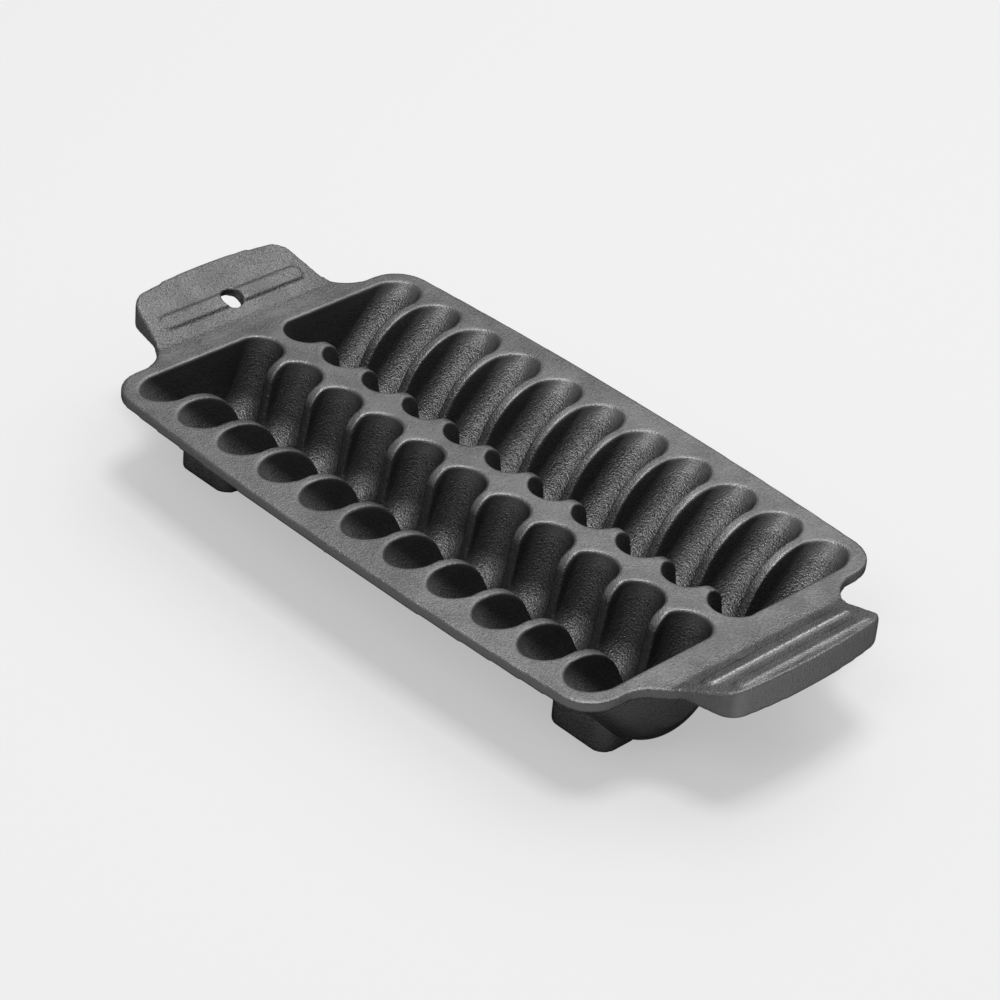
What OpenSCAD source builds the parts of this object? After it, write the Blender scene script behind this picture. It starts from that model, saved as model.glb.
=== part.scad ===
// Cast iron shrimp pan: two rows of deep curled wells in one plate, a tilted grip at each end,
// and four low feet. The whole pan is one casting. Each node is a region of it, and the regions
// meet face to face. All lengths are in millimetres and all angles in degrees.
// Frame: +X runs along the pan towards the plain handle, +Z is up, and the origin lies under
// the middle of the pan on the surface that the feet stand on.

/* [Wells] */
// Number of wells in each of the two rows
wells_per_row = 11; // [5:1:13]
// Distance from one well's centre to the next along the pan
well_pitch = 22.5; // [21:0.5:27]
// Width of a well between its two side walls
well_w = 18.3; // [15:0.1:19]
// Length of a well at the top, from its spine end to its rim end
well_len = 65.8; // [54:0.2:80]
// Depth of a well at its deepest point
well_depth = 33.5; // [27:0.5:40]
// Radius of the rounded floor across a well
floor_cross_r = 9.6; // [9.6:0.1:13]
// Radius of the bend in the floor along a well
floor_bend_r = 18; // [14:0.5:21]
// Slope of the floor on the rim side
rim_slope = 45; // [40:1:54]
// Width of the spine between the two rows
spine_w = 5.6; // [4.6:0.1:9]

/* [Ridges] */
// Distance from a well's rim end to where the ridge starts to drop
rim_shoulder_run = 12.4; // [9:0.1:15]
// Radius of the ridge's long shoulder on the rim side
rim_shoulder_r = 25; // [20:0.5:30]
// Distance from a well's spine end to where the ridge starts to drop
spine_shoulder_run = 5.8; // [4:0.1:7.5]
// Radius of the ridge's short shoulder on the spine side
spine_shoulder_r = 8.8; // [6:0.1:10.5]
// Distance from a well's spine end to the lowest point of the ridge
dip_run = 21.2; // [19:0.2:26]
// Radius at the lowest point of the ridge
dip_r = 3.4; // [2.8:0.1:4.2]
// Height of the ridge over the floor at its lowest point
dip_rise = 4.2; // [3.4:0.1:5.2]

/* [Casting] */
// Thickness of the shell round the wells
shell_t = 4.4; // [3.4:0.1:5]
// Radius of the shell's outer bend under the wells
shell_bend_r = 26; // [22.5:0.5:30]
// Thickness of the top plate and of the handles
plate_t = 4.2; // [3.6:0.1:5]
// Width of the rim past the wells' rim ends, at the middle of the pan
rim_margin = 9.4; // [8:0.1:14]
// Width of the plate past the last well's side wall
end_margin = 5.8; // [5.6:0.1:9]
// How far the long edges bow outwards between the corners
side_bow = 3.6; // [2:0.1:4.4]
// Radius of the plate's four corners, seen from above
corner_r = 14.5; // [11:0.5:16]
// Depth of the grooves between the wells on the underside
groove_d = 3; // [2:0.1:3.6]
// How far the well blocks reach past the place where the shell runs into the plate
block_edge = 1.2; // [0.9:0.1:1.5]

/* [Handles] */
// Distance from the plate's short edge to the handle's outer edge
handle_reach = 34.2; // [30:0.2:42]
// Distance from the plate's short edge to the bend where the handle starts to rise
handle_bend_run = 7; // [5:0.1:8.4]
// Angle at which a handle rises
handle_tilt = 21.5; // [17:0.5:26]
// Width of a handle between its sides, measured at the outer edge
handle_w = 73.8; // [64:0.2:90]
// Angle by which each side of a handle widens towards the plate
handle_taper = 12; // [9:0.5:14]
// Radius of a handle's outer corners
handle_corner_r = 8.6; // [6:0.1:11]
// Radius of the bow along a handle's outer edge
handle_bow_r = 218; // [180:1:260]
// Radius of the fillet between a handle's side and the plate
neck_fillet_r = 16.4; // [12:0.2:18]
// Thickness of the skirt round a handle's underside
skirt_t = 4; // [3.2:0.1:5]
// How far the skirt's lower edge lies below the top of the plate
skirt_drop = 2.5; // [1.5:0.1:3.5]
// Diameter of the hanging hole
hole_d = 9; // [7.5:0.1:10.8]

/* [Grip ribs] */
// Width of a rib at its foot
rib_w = 7.6; // [6.5:0.1:9]
// Width of a rib along its top
rib_top_w = 5.4; // [3.6:0.1:6.2]
// Height of a rib
rib_h = 1; // [0.7:0.1:2.4]
// Distance along the slope from the bend to the inner rib
inner_rib_run = 9.4; // [8:0.1:11]
// Distance along the slope from the bend to the outer rib
outer_rib_run = 21.6; // [20:0.1:23]
// Length of the inner rib over its round ends
inner_rib_len = 71; // [58:0.5:76]
// Length of the outer rib over its round ends
outer_rib_len = 66; // [54:0.5:68]

/* [Feet] */
// How far the feet reach below the shell
foot_drop = 1.4; // [1.1:0.1:5]
// Length of a foot along the pan
foot_l = 29; // [24:0.5:35]
// Width of a foot across the pan
foot_w = 20; // [16:0.5:24]
// Radius of a foot's corners, seen from above
foot_corner_r = 6.5; // [4:0.1:7.8]
// Distance from the plate's short edge to the feet at the plain handle
plain_foot_run = 14; // [11:0.1:22]
// Distance from the plate's short edge to the feet at the hanging handle
hanging_foot_run = 11.4; // [11:0.1:22]
// Distance from a foot's outer face to the wells' rim ends
foot_side_run = 20; // [16:0.1:24]

/* [Hidden] */
$fn = 96;
overrun = 1;
arc_steps = 10;
// The straight chutes of a well lie this share of the bend's radius inside the bend, start this
// share of it before their touching point, and are lapped by the bend over this angle. The spine
// chute is this share of the radius high, a little past the bend's centre.
inset_share = 0.001;
start_share = 0.02;
past_share = 1.1;
lap_angle = 8;
iron = [0.22, 0.22, 0.23];
iron_wells = [0.16, 0.16, 0.17];
iron_feet = [0.19, 0.19, 0.2];

// Places along and across the pan, with z = 0 at the top of the plate
last_well_x = (wells_per_row - 1) / 2 * well_pitch;
plate_x = last_well_x + well_w / 2 + end_margin;
block_x = last_well_x + well_w / 2 + shell_t;
spine_end_y = spine_w / 2;
rim_end_y = spine_end_y + well_len;
shell_end_y = rim_end_y + shell_t / sin(rim_slope) - plate_t / tan(rim_slope);
block_y = max(rim_end_y, shell_end_y) + block_edge;
plate_y = rim_end_y + rim_margin;
shell_depth = well_depth + shell_t;
stand_h = shell_depth + foot_drop;

// Floor line of a well, seen along the pan: a steep line from the spine, a bend, the rim slope
bend_y = rim_end_y - (well_depth - floor_bend_r) / tan(rim_slope) - floor_bend_r / sin(rim_slope);
bend_z = floor_bend_r - well_depth;
bend_far = norm([bend_y - spine_end_y, bend_z]);
spine_slope = atan2(-bend_z, bend_y - spine_end_y) + asin(floor_bend_r / bend_far);
chute_len = 2 * shell_depth / sin(rim_slope);

// Outer line of the shell: the same rim slope, a bend of its own radius, and a steep line from
// the other row's spine end, so that the two shells meet under the spine
shell_rim_y = rim_end_y + shell_t / sin(rim_slope);
shell_bend_y = shell_rim_y - (shell_depth - shell_bend_r) / tan(rim_slope)
    - shell_bend_r / sin(rim_slope);
shell_bend_z = shell_bend_r - shell_depth;
shell_bend_far = norm([shell_bend_y + spine_end_y, shell_bend_z]);
shell_spine_slope = atan2(-shell_bend_z, shell_bend_y + spine_end_y)
    + asin(shell_bend_r / shell_bend_far);

// Long edge of the plate as an arc, and the centre of the corner that it runs into
side_r = (pow(plate_x - corner_r, 2) + side_bow * side_bow) / (2 * side_bow);
side_c = plate_y - side_r;
corner_y = side_c + sqrt(pow(side_r - corner_r, 2) - pow(plate_x - corner_r, 2));
corner_a = atan2(corner_y - side_c, plate_x - corner_r);

// Outline of a handle: side lines, outer bow, and the corner circle that touches both
handle_x = plate_x + handle_reach;
handle_bend_x = plate_x + handle_bend_run;
bow_c = handle_x - handle_bow_r;
side_m = tan(handle_taper);
line_c = handle_w / 2 + handle_x * side_m - handle_corner_r / cos(handle_taper);
quad_b = bow_c + side_m * line_c;
quad_c = bow_c * bow_c + line_c * line_c - pow(handle_bow_r - handle_corner_r, 2);
tip_x = (quad_b + sqrt(quad_b * quad_b - (1 + side_m * side_m) * quad_c)) / (1 + side_m * side_m);
tip_y = line_c - side_m * tip_x;
bow_a = atan2(tip_y, tip_x - bow_c);
fillet_x = plate_x + neck_fillet_r;
fillet_y = handle_side_y(fillet_x) + neck_fillet_r / cos(handle_taper);

// Names of the wells in each row, counted from the handle with the hole
function two_digits(i) = str(i < 10 ? "0" : "", i);
function well_name(row, i) = str(row, "_well_", two_digits(i));
WELL_NAMES = [for (row = ["left", "right"]) for (i = [1:wells_per_row]) well_name(row, i)];

function well_x(i) = (i - 1) * well_pitch - last_well_x;
function handle_side_y(x) = handle_w / 2 + (handle_x - x) * side_m;
function arc_points(c, r, from, to) =
    [for (k = [0:arc_steps]) let (a = from + (to - from) * k / arc_steps) c + r * [cos(a), sin(a)]];
function mirror_y(points) = [for (k = [len(points) - 1:-1:0]) [points[k].x, -points[k].y]];
function tangent_a(c1, r1, c2, r2, turn) =
    atan2(c2.y - c1.y, c2.x - c1.x) + turn * acos((r1 + r2) / norm(c2 - c1));
function on_circle(c, r, a) = c + r * [cos(a), sin(a)];

// Rounded rectangle round a centre
module rounded_rectangle(l, w, r) {
    for (x = [-1, 1]) for (y = [-1, 1]) translate([x * (l / 2 - r), y * (w / 2 - r)]) circle(r = r);
    square([l - 2 * r, w], center = true);
    square([l, w - 2 * r], center = true);
}

// Section of a well across its floor line, with its lowest point at the origin and its sides a
// little too wide
module well_section(h) {
    r = floor_cross_r;
    intersection() {
        translate([-2 * r, -overrun]) square([4 * r, h + overrun]);
        union() {
            translate([0, r]) circle(r = r);
            translate([-r, r]) square([2 * r, h]);
        }
    }
}

// Section of the casting round a well, filled up to the bottom of the groove on each side where
// another well follows
module shell_section(h, last) {
    r = floor_cross_r + shell_t;
    fill_w = last ? well_pitch : 2 * well_pitch;
    intersection() {
        translate([-2 * r, -overrun]) square([4 * r, h + overrun]);
        union() {
            translate([0, r]) circle(r = r);
            translate([-2 * r, r]) square([4 * r, h]);
            translate([-well_pitch, groove_d]) square([fill_w, h]);
        }
    }
}

// Carries a section along a floor line: round the bend at a centre, and up two straight chutes.
// The children are the section in the bend, in the spine chute and in the taller rim chute.
module along_floor(y, z, bend_r, slope) {
    start = -bend_r * start_share;
    inset = bend_r * (1 - inset_share);
    translate([0, y, z]) {
        rotate([90, 0, 90]) rotate(270 - slope - lap_angle)
            rotate_extrude(angle = slope + rim_slope + 2 * lap_angle)
                translate([bend_r, 0]) rotate(90) children(0);
        rotate([90 - slope, 0, 0]) translate([0, -inset, start])
            linear_extrude(chute_len) children(1);
        rotate([rim_slope - 90, 0, 0]) mirror([0, 1, 0]) translate([0, -inset, start])
            linear_extrude(chute_len) children(2);
    }
}

// Space of one well and all that lies over it, between the well's two side walls
module well_space() {
    intersection() {
        translate([-well_w / 2, -overrun, -stand_h]) cube([well_w, plate_y, stand_h + overrun]);
        along_floor(bend_y, bend_z, floor_bend_r, spine_slope) {
            well_section(floor_bend_r);
            well_section(floor_bend_r * past_share);
            well_section(well_len);
        }
    }
}

// Plan of all the wells' blocks together, inside the rim
module block_outline() {
    rounded_rectangle(2 * block_x, 2 * block_y, corner_r);
}

// Outside of the casting round one well, still without the hollow
module well_body(i) {
    last = i == wells_per_row;
    from_x = well_x(i) - well_pitch / 2;
    to_x = last ? plate_x : well_x(i) + well_pitch / 2;
    intersection() {
        translate([0, 0, -stand_h]) linear_extrude(stand_h) intersection() {
            translate([from_x, 0]) square([to_x - from_x, plate_y]);
            block_outline();
        }
        union() {
            translate([well_x(i), 0, 0])
                along_floor(shell_bend_y, shell_bend_z, shell_bend_r, shell_spine_slope) {
                    shell_section(shell_bend_r, last);
                    shell_section(shell_bend_r * past_share, last);
                    shell_section(well_len, last);
                }
            translate([from_x - overrun, -overrun, -plate_t])
                cube([to_x - from_x + 2 * overrun, plate_y, plate_t + overrun]);
        }
    }
}

// Outline of the gap over a ridge, seen along the pan
module dip_outline() {
    rim_c = [rim_end_y - rim_shoulder_run, -rim_shoulder_r];
    spine_c = [spine_end_y + spine_shoulder_run, -spine_shoulder_r];
    dip_c = [spine_end_y + dip_run, dip_rise + dip_r - well_depth];
    rim_a = tangent_a(rim_c, rim_shoulder_r, dip_c, dip_r, -1);
    spine_a = tangent_a(spine_c, spine_shoulder_r, dip_c, dip_r, 1);
    difference() {
        union() {
            polygon([[spine_c.x, overrun], spine_c, on_circle(spine_c, spine_shoulder_r, spine_a),
                on_circle(dip_c, -dip_r, spine_a), dip_c, on_circle(dip_c, -dip_r, rim_a),
                on_circle(rim_c, rim_shoulder_r, rim_a), rim_c, [rim_c.x, overrun]]);
            translate(dip_c) circle(r = dip_r);
        }
        translate(spine_c) circle(r = spine_shoulder_r);
        translate(rim_c) circle(r = rim_shoulder_r);
    }
}

// One well of the left-hand row with its half of the ridge on each side
module well(i) {
    last = i == wells_per_row;
    dip_from = well_x(i) - well_pitch / 2 - overrun;
    dip_to = last ? well_x(i) : well_x(i) + well_pitch / 2 + overrun;
    if (i == 1) mirror([1, 0, 0]) well(wells_per_row);
    else color(iron_wells) translate([0, 0, stand_h]) difference() {
        well_body(i);
        translate([well_x(i), 0, 0]) well_space();
        translate([dip_from, 0, 0]) rotate([90, 0, 90]) linear_extrude(dip_to - dip_from)
            dip_outline();
    }
}

// Rim round both rows of wells
module rim_plate() {
    corner = arc_points([plate_x - corner_r, corner_y], corner_r, 0, corner_a);
    side = arc_points([0, side_c], side_r, corner_a, 180 - corner_a);
    other = arc_points([corner_r - plate_x, corner_y], corner_r, 180 - corner_a, 180);
    half = concat(corner, side, other);
    color(iron) translate([0, 0, stand_h - plate_t]) linear_extrude(plate_t) difference() {
        polygon(concat(half, mirror_y(half)));
        block_outline();
    }
}

// Plan of a handle, from the plate's short edge to the outer bow
module handle_outline() {
    half = concat(
        mirror_y(arc_points([tip_x, tip_y], handle_corner_r, bow_a, 90 - handle_taper)),
        arc_points([bow_c, 0], handle_bow_r, -bow_a, bow_a),
        arc_points([tip_x, tip_y], handle_corner_r, bow_a, 90 - handle_taper));
    neck = arc_points([fillet_x, fillet_y], neck_fillet_r, 270 - handle_taper, 180);
    polygon(concat(mirror_y(neck), half, neck));
}

// Plan of the hollow under a handle, from the bend to a skirt's thickness inside the outline
module pocket_outline() {
    in_r = handle_corner_r - skirt_t;
    start_y = handle_side_y(handle_bend_x) - skirt_t / cos(handle_taper);
    half = concat(
        mirror_y(arc_points([tip_x, tip_y], in_r, bow_a, 90 - handle_taper)),
        arc_points([bow_c, 0], handle_bow_r - skirt_t, -bow_a, bow_a),
        arc_points([tip_x, tip_y], in_r, bow_a, 90 - handle_taper));
    polygon(concat([[handle_bend_x, -start_y]], half, [[handle_bend_x, start_y]]));
}

// Side view under the top face of a handle, shifted down by a depth measured square to it
module handle_profile(depth) {
    down = depth / cos(handle_tilt);
    run = handle_x + overrun - handle_bend_x;
    bottom = -stand_h - depth;
    polygon([[plate_x - overrun, bottom], [plate_x - overrun, -depth],
        [handle_bend_x + depth * tan(handle_tilt / 2), -depth],
        [handle_x + overrun, run * tan(handle_tilt) - down], [handle_x + overrun, bottom]]);
}

module handle_extrude() {
    translate([0, handle_w, 0]) rotate([90, 0, 0]) linear_extrude(2 * handle_w) children();
}

// Casting of one handle: a rising plate, and a skirt whose lower edge is level
module handle_body() {
    translate([0, 0, stand_h]) intersection() {
        translate([0, 0, -stand_h]) linear_extrude(2 * stand_h) handle_outline();
        difference() {
            handle_extrude() handle_profile(0);
            intersection() {
                handle_extrude() handle_profile(plate_t);
                union() {
                    translate([0, 0, -2 * stand_h]) linear_extrude(4 * stand_h)
                        pocket_outline();
                    translate([0, -handle_w, -2 * stand_h])
                        cube([handle_x + overrun, 2 * handle_w, 2 * stand_h - skirt_drop]);
                }
            }
        }
    }
}

// Puts its children on the rising face of a handle, at a distance from the bend
module on_handle(run) {
    translate([handle_bend_x, 0, stand_h]) rotate([0, -handle_tilt, 0]) translate([run, 0, 0])
        children();
}

module hole_cutter() {
    on_handle(inner_rib_run) translate([0, 0, -2 * plate_t])
        cylinder(d = hole_d, h = 4 * plate_t);
}

module hanging_handle() {
    color(iron) mirror([1, 0, 0]) difference() {
        handle_body();
        hole_cutter();
    }
}

module plain_handle() {
    color(iron) handle_body();
}

// Raised rib with sloping sides and round ends
module rib(length) {
    half_run = length / 2 - rib_w / 2;
    for (end = [-1, 1]) translate([0, end * half_run, 0])
        cylinder(d1 = rib_w, d2 = rib_top_w, h = rib_h);
    translate([0, half_run, 0]) rotate([90, 0, 0]) linear_extrude(2 * half_run)
        polygon([[-rib_w / 2, 0], [rib_w / 2, 0], [rib_top_w / 2, rib_h], [-rib_top_w / 2, rib_h]]);
}

module hanging_handle_rib() {
    color(iron) mirror([1, 0, 0]) difference() {
        on_handle(inner_rib_run) rib(inner_rib_len);
        hole_cutter();
    }
}

module plain_handle_inner_rib() {
    color(iron) on_handle(inner_rib_run) rib(inner_rib_len);
}

module plain_handle_outer_rib() {
    color(iron) on_handle(outer_rib_run) rib(outer_rib_len);
}

// Foot under the rim side of the last wells of the left-hand row, cut to the shell above it
module foot(end_run) {
    to_x = plate_x - end_run;
    to_y = rim_end_y - foot_side_run;
    color(iron_feet) difference() {
        translate([to_x - foot_l / 2, to_y - foot_w / 2, 0]) linear_extrude(stand_h - 2 * plate_t)
            rounded_rectangle(foot_l, foot_w, foot_corner_r);
        translate([0, 0, stand_h]) for (i = [1:wells_per_row])
            if (abs(well_x(i) - to_x + foot_l / 2) < foot_l / 2 + well_pitch) well_body(i);
    }
}

module left_plain_foot() {
    foot(plain_foot_run);
}

module right_plain_foot() {
    mirror([0, 1, 0]) foot(plain_foot_run);
}

module left_hanging_foot() {
    mirror([1, 0, 0]) foot(hanging_foot_run);
}

module right_hanging_foot() {
    mirror([1, 0, 0]) mirror([0, 1, 0]) foot(hanging_foot_run);
}

module left_well(i) {
    well(i);
}

module right_well(i) {
    mirror([0, 1, 0]) well(i);
}

rim_plate();
hanging_handle();
plain_handle();
hanging_handle_rib();
plain_handle_inner_rib();
plain_handle_outer_rib();
left_hanging_foot();
right_hanging_foot();
left_plain_foot();
right_plain_foot();
for (i = [1:wells_per_row]) {
    left_well(i);
    right_well(i);
}
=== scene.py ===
import math

import bpy
from mathutils import Matrix, Vector


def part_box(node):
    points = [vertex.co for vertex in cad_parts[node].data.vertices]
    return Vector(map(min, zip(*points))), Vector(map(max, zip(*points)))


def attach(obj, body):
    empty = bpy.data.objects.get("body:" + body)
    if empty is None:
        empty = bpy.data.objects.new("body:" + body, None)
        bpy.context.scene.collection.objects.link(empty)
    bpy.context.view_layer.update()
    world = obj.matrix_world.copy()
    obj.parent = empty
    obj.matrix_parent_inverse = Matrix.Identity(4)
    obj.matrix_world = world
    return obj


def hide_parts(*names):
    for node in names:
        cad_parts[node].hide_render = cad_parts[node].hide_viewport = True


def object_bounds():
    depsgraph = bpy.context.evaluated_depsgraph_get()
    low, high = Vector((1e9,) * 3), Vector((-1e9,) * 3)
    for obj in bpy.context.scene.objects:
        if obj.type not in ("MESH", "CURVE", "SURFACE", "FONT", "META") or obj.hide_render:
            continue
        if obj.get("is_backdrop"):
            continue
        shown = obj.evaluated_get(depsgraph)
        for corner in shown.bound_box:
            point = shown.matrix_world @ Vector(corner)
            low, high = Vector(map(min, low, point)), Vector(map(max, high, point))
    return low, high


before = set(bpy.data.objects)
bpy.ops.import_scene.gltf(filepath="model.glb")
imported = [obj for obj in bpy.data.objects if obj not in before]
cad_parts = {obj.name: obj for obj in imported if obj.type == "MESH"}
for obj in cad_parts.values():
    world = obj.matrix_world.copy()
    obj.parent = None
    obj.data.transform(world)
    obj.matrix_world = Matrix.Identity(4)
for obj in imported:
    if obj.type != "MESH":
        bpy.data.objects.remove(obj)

cad_low, cad_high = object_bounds()

# The casting
# The real pan is one pour of grey iron in a sand mould: rim, wells, handles, ribs and feet are
# one body with soft edges. A copy of every CAD region is merged here, fused on a fine grid, and
# relaxed until its edges are as round as the mould left them.
mm = 0.001
GRID = 0.65 * mm
DOUBLES_APART = 0.001 * mm
RELAX_SHARE = 0.5
RELAX_STEPS = 8

bpy.ops.object.select_all(action="DESELECT")
for name, region in sorted(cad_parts.items()):
    copy = bpy.data.objects.new(name + "_copy", region.data.copy())
    bpy.context.scene.collection.objects.link(copy)
    copy.select_set(True)
    bpy.context.view_layer.objects.active = copy
bpy.ops.object.join()
casting = bpy.context.view_layer.objects.active
casting.name = "casting"
casting.data.materials.clear()
bpy.ops.object.mode_set(mode="EDIT")
bpy.ops.mesh.select_all(action="SELECT")
bpy.ops.mesh.remove_doubles(threshold=DOUBLES_APART)
bpy.ops.object.mode_set(mode="OBJECT")

# The fused surface is laid back on the merged copies, so that no step of the grid shows in it.
pattern = casting.copy()
pattern.data = casting.data.copy()
pattern.name = "pattern"
bpy.context.scene.collection.objects.link(pattern)
coarse = 1
fuse = casting.modifiers.new("fuse", "REMESH")
fuse.mode = "VOXEL"
fuse.voxel_size = coarse * GRID
fuse.use_smooth_shade = True
bpy.ops.object.modifier_apply(modifier=fuse.name)
follow = casting.modifiers.new("follow", "SHRINKWRAP")
follow.target = pattern
bpy.ops.object.modifier_apply(modifier=follow.name)
bpy.data.objects.remove(pattern)

# The grips' outer edges are rounded the most, so that they are kind to the hand. A grip ends in a
# bow, and its sides spread towards the plate.
GRIP_STEPS = 22
GRIP_EDGE = 5.5 * mm
GRIP_FADE = 2 * mm
GRIP_START_X = 138 * mm
GRIP_HALF_W = 36.9 * mm
GRIP_TAPER = math.tan(math.radians(12))
GRIP_BOW_R = 218 * mm
FULL_WEIGHT = 4

grip_edges = casting.vertex_groups.new(name="grip_edges")
by_weight = {}
for vert in casting.data.vertices:
    x, y = abs(vert.co.x), abs(vert.co.y)
    if x > GRIP_START_X:
        to_bow = cad_high[0] - y * y / (2 * GRIP_BOW_R) - x
        to_side = GRIP_HALF_W + (cad_high[0] - x) * GRIP_TAPER - y
        weight = round(FULL_WEIGHT * (GRIP_EDGE - min(to_bow, to_side)) / GRIP_FADE)
        by_weight.setdefault(max(0, min(FULL_WEIGHT, weight)), []).append(vert.index)
for weight, indices in by_weight.items():
    grip_edges.add(indices, weight / FULL_WEIGHT, "REPLACE")
for name, steps, group in (("relax", RELAX_STEPS, ""), ("round", GRIP_STEPS, grip_edges.name)):
    relax = casting.modifiers.new(name, "SMOOTH")
    relax.factor = RELAX_SHARE
    relax.iterations = round(steps / coarse ** 2)
    relax.vertex_group = group
    bpy.ops.object.modifier_apply(modifier=relax.name)


# Sand-cast, seasoned iron
# The whole pan is one dark grey iron with a thin baked film of oil. The sand leaves a fine
# pebbly grain, coarser and pitted in the wells, where the mould's cores stood, and on the handle
# with the hole; the pits are darker, and in the wells this darkening is partly painted shade.
# Steep faces get painted shade, the grips' end faces painted light, the near ribs a painted
# highlight broken into rubbed specks, and the hanging handle's rib lines of painted shade.
class Wire:
    """One socket of a material's nodes. Arithmetic on it adds Math nodes."""

    def __init__(self, tree, socket=None):
        self.tree = tree
        self.socket = socket

    def node(self, kind, settings, inputs, output=0):
        made = self.tree.nodes.new(kind)
        for key, value in settings.items():
            setattr(made, key, value)
        for key, value in inputs.items():
            if isinstance(value, Wire):
                self.tree.links.new(value.socket, made.inputs[key])
            else:
                made.inputs[key].default_value = value
        return Wire(self.tree, made.outputs[output])

    def math(self, operation, *values):
        return self.node("ShaderNodeMath", {"operation": operation}, dict(enumerate(values)))

    def __add__(self, other):
        return self.math("ADD", self, other)

    def __radd__(self, other):
        return self.math("ADD", other, self)

    def __sub__(self, other):
        return self.math("SUBTRACT", self, other)

    def __rsub__(self, other):
        return self.math("SUBTRACT", other, self)

    def __mul__(self, other):
        return self.math("MULTIPLY", self, other)

    def __rmul__(self, other):
        return self.math("MULTIPLY", other, self)

    def __abs__(self):
        return self.math("ABSOLUTE", self)

    def part(self, axis):
        return self.node("ShaderNodeSeparateXYZ", {}, {"Vector": self}, axis)

    def noise(self, size, detail=2.0):
        inputs = {"Vector": self, "Scale": 1 / size, "Detail": detail}
        return self.node("ShaderNodeTexNoise", {"noise_dimensions": "3D"}, inputs)

    def band(self, start, end):
        inputs = {"Value": self, "From Min": start, "From Max": end}
        settings = {"interpolation_type": "SMOOTHSTEP"}
        return self.node("ShaderNodeMapRange", settings, inputs)

    def between(self, *colours):
        ends = [end if isinstance(end, Wire) else (*end, 1) for end in colours]
        inputs = {"Factor": self, 6: ends[0], 7: ends[1]}
        return self.node("ShaderNodeMix", {"data_type": "RGBA"}, inputs, 2)


IRON_DARK = (0.16, 0.16, 0.162)
IRON_LIGHT = (0.25, 0.25, 0.252)
IRON_METALLIC = 0.9
IRON_ROUGHNESS = 0.42
ROUGHNESS_SPREAD = 0.16
EDGE_TINT = (0.0, 0.0, 0.0)
GRAIN_SIZE = 0.6 * mm
GRAIN_DETAIL = 2.5
GRAIN_DEPTH = 0.2
GRIP_GRAIN_DEPTH = 0.2
SKIN_SIZE = 2.4 * mm
SKIN_DEPTH = 0.1
MOTTLE_SIZE = 16 * mm
MOTTLE_SHARE = 0.45
SHADE_SPREAD = (0.36, 0.64)
STEEP_PAINTED_SHADE = (0.13, 0.13, 0.132)
STEEP_SLOPE = (0.6, 0.2)

CORE_GRAIN_SIZE = 0.66 * mm
CORE_GRAIN_DEPTH = 0.42
WELL_START = 1.5 * mm
WELL_FULL = 7 * mm
UNDERSIDE_SLOPE = (-0.35, -0.1)
FAR_GRAIN_DEPTH = 0.34
FAR_GRAIN_X = (-126 * mm, -134 * mm)
PIT_AND_SHADE_IRON = (0.095, 0.095, 0.096)
PIT_LEVEL = (0.52, 0.36)
FAR_PITS = 0.6

GRIP_END_PAINTED_LIGHT = (0.19, 0.19, 0.192)
END_LIGHT_START = 2.5 * mm
END_LIGHT_FULL = 0.5 * mm
END_LIGHT_RAGGED = 0.12 * mm
# Along the plain handle's ribs: a bright line broken into specks, partly rubbed metal and partly
# painted highlight on the ribs' outer sides.
RUB_AND_HIGHLIGHT_IRON = (0.6, 0.6, 0.605)
# Along both feet of the hanging handle's rib: dark lines of painted shade.
RIB_FOOT_PAINTED_SHADE = (0.035, 0.035, 0.036)
RIB_LINES = [
    ("plain_handle_inner_rib", 1.3 * mm, RUB_AND_HIGHLIGHT_IRON, 0.8),
    ("plain_handle_outer_rib", 1.3 * mm, RUB_AND_HIGHLIGHT_IRON, 0.35),
    ("hanging_handle_rib", 0.3 * mm, RIB_FOOT_PAINTED_SHADE, 0.7),
    ("hanging_handle_rib", 6.9 * mm, RIB_FOOT_PAINTED_SHADE, 0.45),
]
LINE_WIDTH = (0.75 * mm, 0.15 * mm)
LINE_FADE = 3 * mm
LINE_BREAKS = (0.34, 0.56)
GRIP_START = 2 * mm
GRIP_FULL = 8 * mm

plate_end, plate_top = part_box("rim_plate")[1].x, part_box("rim_plate")[1].z


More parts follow.
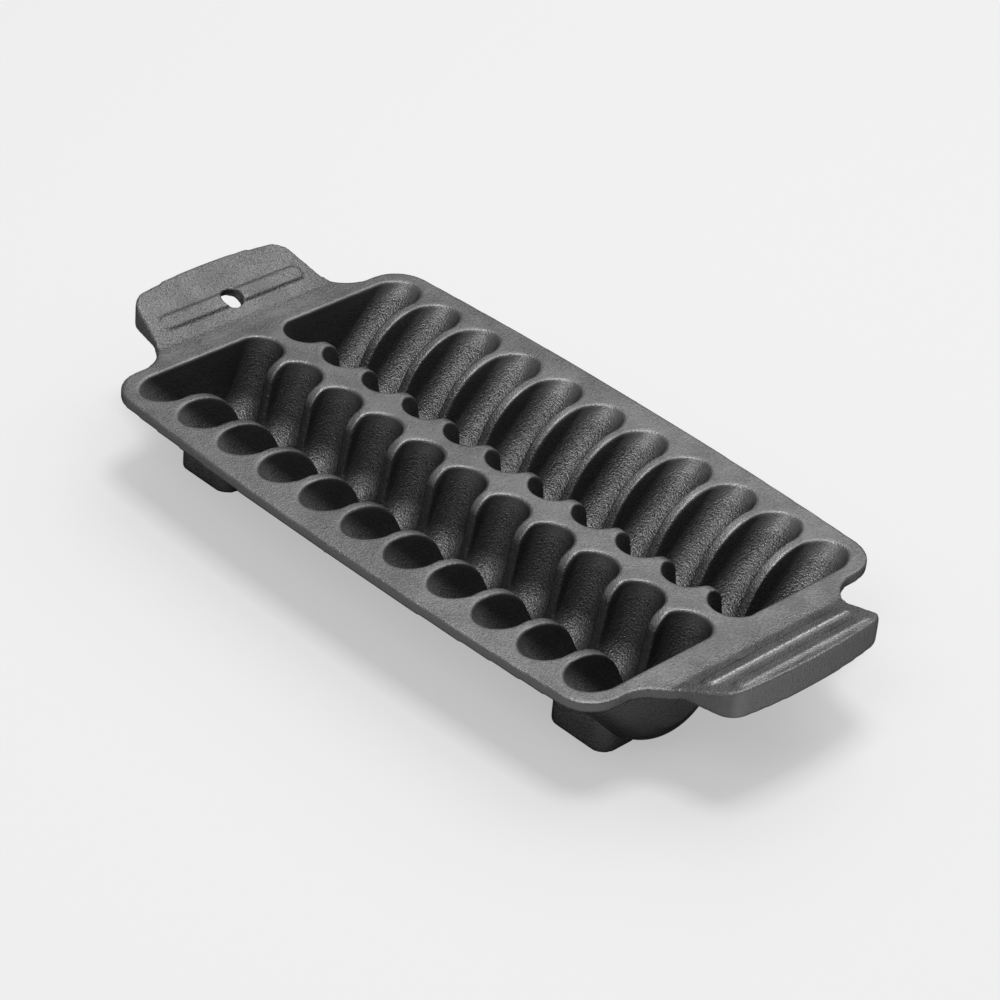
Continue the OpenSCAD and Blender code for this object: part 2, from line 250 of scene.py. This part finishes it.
def iron_material(name):
    material = bpy.data.materials.new(name)
    material.use_nodes = True
    tree = material.node_tree
    place = Wire(tree).node("ShaderNodeTexCoord", {}, {}, "Object")
    slope = Wire(tree).node("ShaderNodeTexCoord", {}, {}, "Normal").part(2)
    along, across, height = place.part(0), place.part(1), place.part(2)
    grain = place.noise(GRAIN_SIZE, GRAIN_DETAIL)
    core_grain = place.noise(CORE_GRAIN_SIZE, GRAIN_DETAIL)
    skin = place.noise(SKIN_SIZE)
    mottle = place.noise(MOTTLE_SIZE)

    shade = ((1 - MOTTLE_SHARE) * grain + MOTTLE_SHARE * mottle).band(*SHADE_SPREAD)
    colour = shade.between(IRON_DARK, IRON_LIGHT)
    # Painted shade: steep faces are given a darker colour.
    colour = slope.band(*STEEP_SLOPE).between(colour, STEEP_PAINTED_SHADE)

    # In the wells and on the far grip the grain's pits are darker. In the wells this is partly
    # painted shade, darkening the hollows below the plate.
    in_well = height.band(plate_top - WELL_START, plate_top - WELL_FULL)
    in_well = in_well * slope.band(*UNDERSIDE_SLOPE)
    far_grip = along.band(*FAR_GRAIN_X)
    pits_and_well_shade = (in_well + FAR_PITS * far_grip) * core_grain.band(*PIT_LEVEL)
    colour = pits_and_well_shade.between(colour, PIT_AND_SHADE_IRON)

    reach = abs(along)
    # Painted light: the grips' end faces are made lighter, with a ragged edge, standing in for
    # the bright floor that they reflect.
    bow = reach + across * across * (0.5 / GRIP_BOW_R) - END_LIGHT_RAGGED * skin
    end_light = bow.band(cad_high[0] - END_LIGHT_START, cad_high[0] - END_LIGHT_FULL)
    colour = end_light.between(colour, GRIP_END_PAINTED_LIGHT)
    # Each line lays its tone along a rib: painted highlight with rubbed specks, or painted shade.
    for rib, inset, tone, share in RIB_LINES:
        rib_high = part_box(rib)[1]
        line = abs(along - (rib_high.x - inset)).band(*LINE_WIDTH)
        line = line * abs(across).band(rib_high.y, rib_high.y - LINE_FADE)
        line = line * core_grain.band(*LINE_BREAKS) * share
        colour = line.between(colour, tone)

    on_grip = reach.band(plate_end - GRIP_START, plate_end + GRIP_FULL)
    relief = (GRAIN_DEPTH + GRIP_GRAIN_DEPTH * on_grip) * grain + SKIN_DEPTH * skin
    relief = relief + CORE_GRAIN_DEPTH * in_well * core_grain
    relief = relief + FAR_GRAIN_DEPTH * far_grip * core_grain
    bump_inputs = {"Strength": 1.0, "Distance": mm, "Height": relief}
    bump = relief.node("ShaderNodeBump", {}, bump_inputs)
    roughness = IRON_ROUGHNESS + ROUGHNESS_SPREAD * (mottle - 0.5)

    shader = tree.nodes["Principled BSDF"]
    for key, wire in (("Base Color", colour), ("Roughness", roughness), ("Normal", bump)):
        tree.links.new(wire.socket, shader.inputs[key])
    shader.inputs["Metallic"].default_value = IRON_METALLIC
    shader.inputs["Specular Tint"].default_value = (*EDGE_TINT, 1)
    return material


iron = iron_material("seasoned_iron")

# The handle with the hole
# A rising grip with a skirt round its underside, one raised rib, and a hole to hang the pan by.
# It is part of the one pour of iron. It is parted from the casting just outside the wells,
# through the plain edge of the plate, so that the outer skin runs on unbroken.
CUT_RUN = 0.6 * mm
SHARP_ANGLE = math.radians(60)


def keep_side(piece, point, normal, keep_above):
    bpy.ops.object.select_all(action="DESELECT")
    piece.select_set(True)
    bpy.context.view_layer.objects.active = piece
    bpy.ops.object.mode_set(mode="EDIT")
    bpy.ops.mesh.select_all(action="SELECT")
    bpy.ops.mesh.bisect(plane_co=point, plane_no=normal, use_fill=True,
                        threshold=DOUBLES_APART, clear_inner=keep_above,
                        clear_outer=not keep_above)
    bpy.ops.object.mode_set(mode="OBJECT")


def cut_off(body, name, point, normal):
    piece = bpy.data.objects.new(name, body.data.copy())
    bpy.context.scene.collection.objects.link(piece)
    keep_side(piece, point, normal, True)
    keep_side(body, point, normal, False)
    return piece


def finish_piece(piece, *nodes):
    bpy.ops.object.select_all(action="DESELECT")
    piece.select_set(True)
    bpy.context.view_layer.objects.active = piece
    bpy.ops.object.shade_smooth_by_angle(angle=SHARP_ANGLE)
    piece.data.name = piece.name
    piece.data.materials.clear()
    piece.data.materials.append(iron)
    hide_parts(*nodes)
    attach(piece, "root")


hanging_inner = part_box("hanging_handle")[1].x
hanging_grip = cut_off(casting, "hanging_grip", (hanging_inner + CUT_RUN, 0, 0), (-1, 0, 0))
finish_piece(hanging_grip, "hanging_handle", "hanging_handle_rib")

# The plain handle
# The same grip without a hole, with two raised ribs along it for the hand. It is part of the one
# pour of iron too, and is parted from the casting in the same place at its own end.
plain_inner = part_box("plain_handle")[0].x
plain_grip = cut_off(casting, "plain_grip", (plain_inner - CUT_RUN, 0, 0), (1, 0, 0))
finish_piece(plain_grip, "plain_handle", "plain_handle_inner_rib", "plain_handle_outer_rib")

# The two rows of wells, with the rim and the feet
# Every well is a curled pocket for one shrimp, with half of a low ridge on each side, cast in one
# with its stretch of the rim. A foot stands under the wells at each end of a row. The casting is
# cut across between the wells, and each slice is then cut in two along the spine.
feet = {name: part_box(name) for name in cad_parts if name.endswith("foot")}
numbers = sorted(name[-2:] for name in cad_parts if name.startswith("left_well_"))
for number in numbers:
    low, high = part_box("left_well_" + number)
    pair = casting
    if number != numbers[-1]:
        pair = cut_off(casting, "wells_" + number, (high.x, 0, 0), (-1, 0, 0))
    left = cut_off(pair, "left_well_" + number + "_cast", (0, 0, 0), (0, 1, 0))
    pair.name = "right_well_" + number + "_cast"
    for side, piece in (("left", left), ("right", pair)):
        under = [foot for foot, (foot_low, foot_high) in feet.items()
                 if foot.startswith(side) and foot_low.x < high.x and foot_high.x > low.x]
        finish_piece(piece, side + "_well_" + number, "rim_plate", *under)

# The floor
# A plain pale sweep of paper. The camera and the reflections see it pale, and half of what the
# camera sees is its own glow, which keeps the pan's shadow soft. To all other light it is dull.
FLOOR_HALF = 3.0
FLOOR_DULL = (0.3, 0.3, 0.3)
FLOOR_WHITE = (0.82, 0.82, 0.82)
FLOOR_GLOW = (0.86, 0.86, 0.86)
GLOW_SHARE = 0.5

bpy.ops.object.select_all(action="DESELECT")
bpy.ops.mesh.primitive_plane_add(size=2 * FLOOR_HALF)
floor = bpy.context.active_object
floor.name = "floor"
paper = bpy.data.materials.new("pale_paper")
paper.use_nodes = True
sheet = Wire(paper.node_tree)
camera_ray, glossy_ray, through_ray = [
    sheet.node("ShaderNodeLightPath", {}, {}, ray)
    for ray in ("Is Camera Ray", "Is Glossy Ray", "Is Transmission Ray")]
seen = sheet.math("MAXIMUM", sheet.math("MAXIMUM", camera_ray, glossy_ray), through_ray)
dull = sheet.node("ShaderNodeBsdfDiffuse", {}, {"Color": (*FLOOR_DULL, 1)})
white = sheet.node("ShaderNodeBsdfDiffuse", {}, {"Color": (*FLOOR_WHITE, 1)})
glow = sheet.node("ShaderNodeEmission", {}, {"Color": (*FLOOR_GLOW, 1)})
pale = sheet.node("ShaderNodeMixShader", {}, {0: GLOW_SHARE * camera_ray, 1: white, 2: glow})
surface = sheet.node("ShaderNodeMixShader", {}, {0: seen, 1: dull, 2: pale})
output = paper.node_tree.nodes["Material Output"]
paper.node_tree.links.new(surface.socket, output.inputs["Surface"])
floor.data.materials.append(paper)
floor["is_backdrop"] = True

# The light
# One wide soft lamp high behind the pan gives the iron its sheen. A smaller one straight above
# lights the wells, a weak one in front lifts the near sides, and the room is even and dim.
ROOM_LEVEL = 0.3
LAMPS = {
    "back": (Vector((-0.4, 1.35, 1.65)), 2.1, 20.0),
    "top": (Vector((0.1, 0.0, 2.0)), 0.6, 18.0),
    "front": (Vector((0.3, -1.3, 1.6)), 0.8, 6.0),
}

world = bpy.data.worlds.new("room")
bpy.context.scene.world = world
world.use_nodes = True
world.node_tree.nodes["Background"].inputs["Color"].default_value = (1, 1, 1, 1)
world.node_tree.nodes["Background"].inputs["Strength"].default_value = ROOM_LEVEL
for name, (lamp_place, size, power) in LAMPS.items():
    lamp_data = bpy.data.lights.new(name, "AREA")
    lamp_data.shape = "SQUARE"
    lamp_data.size = size
    lamp_data.energy = power
    lamp = bpy.data.objects.new(name, lamp_data)
    bpy.context.scene.collection.objects.link(lamp)
    lamp.location = lamp_place
    lamp.rotation_mode = "QUATERNION"
    lamp.rotation_quaternion = lamp_place.to_track_quat("Z", "Y")

# The camera
# It looks along the pan from the plain handle's right-hand corner, turned a little about its
# own line of sight, as the photograph was taken.
CAMERA_AZIMUTH = math.radians(43.45)
CAMERA_ELEVATION = math.radians(33.55)
CAMERA_ROLL = math.radians(5.28)
CAMERA_DISTANCE = 1279.1 * mm
CAMERA_LENS = 128.56
SENSOR_WIDTH = 36
AIM = Vector((17.65 * mm, -9.9 * mm, plate_top))

back = Vector((math.sin(CAMERA_AZIMUTH) * math.cos(CAMERA_ELEVATION),
               -math.cos(CAMERA_AZIMUTH) * math.cos(CAMERA_ELEVATION),
               math.sin(CAMERA_ELEVATION)))
right = Vector((0, 0, 1)).cross(back).normalized()
up = back.cross(right)
rolled_right = right * math.cos(CAMERA_ROLL) + up * math.sin(CAMERA_ROLL)
rolled_up = up * math.cos(CAMERA_ROLL) - right * math.sin(CAMERA_ROLL)
camera_data = bpy.data.cameras.new("camera")
camera_data.lens = CAMERA_LENS
camera_data.sensor_width = SENSOR_WIDTH
camera = bpy.data.objects.new("camera", camera_data)
bpy.context.scene.collection.objects.link(camera)
turn = Matrix((rolled_right, rolled_up, back)).transposed()
camera.rotation_mode = "QUATERNION"
camera.rotation_quaternion = turn.to_quaternion()
camera.location = AIM + back * CAMERA_DISTANCE
bpy.context.scene.camera = camera
bpy.context.scene.view_settings.view_transform = "Standard"

# The sizes of the CAD model and of the visual model
low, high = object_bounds()
